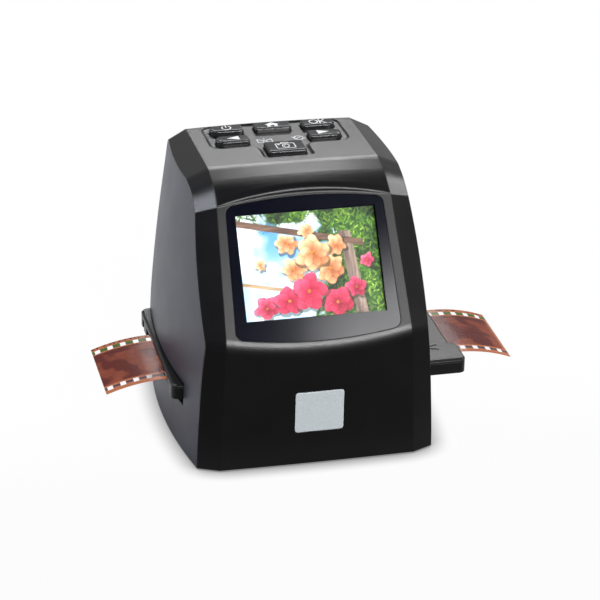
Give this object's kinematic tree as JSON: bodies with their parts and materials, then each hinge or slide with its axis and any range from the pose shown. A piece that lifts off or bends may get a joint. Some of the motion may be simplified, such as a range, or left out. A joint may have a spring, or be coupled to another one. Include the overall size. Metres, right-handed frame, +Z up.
{
  "type": "film negative scanner",
  "caption": "Compact desktop film scanner: a tilted screen in a bevelled housing, push keys on top and a film adapter that slides through from side to side.",
  "frame": {"origin": "on the table, at the middle of the housing's footprint, on the underside of the rubber base pad", "axes": "+X to the user's right, along the film; -Y towards the user, whom the screen faces; +Z up"},
  "size_m": [0.1469, 0.0897, 0.0966],
  "materials": {
    "housing_top": "fine grain, dark grey",
    "housing_front": "fine grain, near black",
    "side_plastic": "satin, dark grey",
    "plain_black": "matt black",
    "glass": "clear with a dark printed border",
    "key_black": "gloss black",
    "badge": "plain light grey",
    "steel": "plated",
    "board_green": "solder mask green",
    "chip": "matt black",
    "socket_metal": "tinned",
    "milky": "milky white",
    "white_plastic": "white",
    "lens": "coated glass",
    "ribbon": "amber polyimide",
    "rubber": "matt",
    "film": "orange negative film",
    "screen": "dark when off"
  },
  "bodies": {
    "housing": {"front_cover": "housing_top", "rear_cover": "housing_front", "side_panel_left": "side_plastic", "side_panel_right": "side_plastic", "base_plate": "plain_black", "base_pad": "rubber", "case_screws": "steel", "badge_plate": "badge", "window_glass": "glass", "screen_module": "screen", "screen_holder": "plain_black", "screen_screws": "steel", "key_board": "board_green", "key_switches": "chip", "key_board_screws": "steel", "guide_frame": "plain_black", "detent_spring": "steel", "light_box": "white_plastic", "diffuser": "milky", "light_board": "board_green", "lamps": "milky", "optical_tower": "plain_black", "tower_screws": "steel", "lens_barrel": "plain_black", "lens_elements": "lens", "sensor_board": "board_green", "image_sensor": "chip", "sensor_cable": "ribbon", "screen_cable": "ribbon", "main_board": "board_green", "main_chips": "chip", "main_board_screws": "steel", "usb_socket": "socket_metal", "video_jack": "chip", "card_socket": "socket_metal"},
    "key_power": {"key_power": "key_black"},
    "key_home": {"key_home": "key_black"},
    "key_ok": {"key_ok": "key_black"},
    "key_left": {"key_left": "key_black"},
    "key_right": {"key_right": "key_black"},
    "key_capture": {"key_capture": "key_black"},
    "adapter": {"adapter_base": "plain_black", "adapter_lid": "plain_black", "adapter_hinge_pins": "steel", "adapter_latches": "plain_black"},
    "film": {"film_strip": "film"}
  },
  "joints": [
    {"name": "key_power_press", "type": "slide", "parent": "housing", "child": "key_power", "axis": [0, -0.0302, -0.9995], "range_m": [0, 0.0008], "stiffness_N_per_m": 1500, "springref_m": -0.0002},
    {"name": "key_home_press", "type": "slide", "parent": "housing", "child": "key_home", "axis": [0, -0.0302, -0.9995], "range_m": [0, 0.0008], "stiffness_N_per_m": 1500, "springref_m": -0.0002},
    {"name": "key_ok_press", "type": "slide", "parent": "housing", "child": "key_ok", "axis": [0, -0.0302, -0.9995], "range_m": [0, 0.0008], "stiffness_N_per_m": 1500, "springref_m": -0.0002},
    {"name": "key_left_press", "type": "slide", "parent": "housing", "child": "key_left", "axis": [0, -0.0302, -0.9995], "range_m": [0, 0.0008], "stiffness_N_per_m": 1500, "springref_m": -0.0002},
    {"name": "key_right_press", "type": "slide", "parent": "housing", "child": "key_right", "axis": [0, -0.0302, -0.9995], "range_m": [0, 0.0008], "stiffness_N_per_m": 1500, "springref_m": -0.0002},
    {"name": "key_capture_press", "type": "slide", "parent": "housing", "child": "key_capture", "axis": [0, -0.0302, -0.9995], "range_m": [0, 0.0008], "stiffness_N_per_m": 1500, "springref_m": -0.0002},
    {"name": "adapter_slide", "type": "slide", "parent": "housing", "child": "adapter", "axis": [1, 0, 0], "range_m": [0, 0.105]},
    {"name": "film_feed", "type": "slide", "parent": "adapter", "child": "film", "axis": [1, 0, 0], "range_m": [-0.038, 0.038], "deforming": ["film_strip"]}
  ]
}
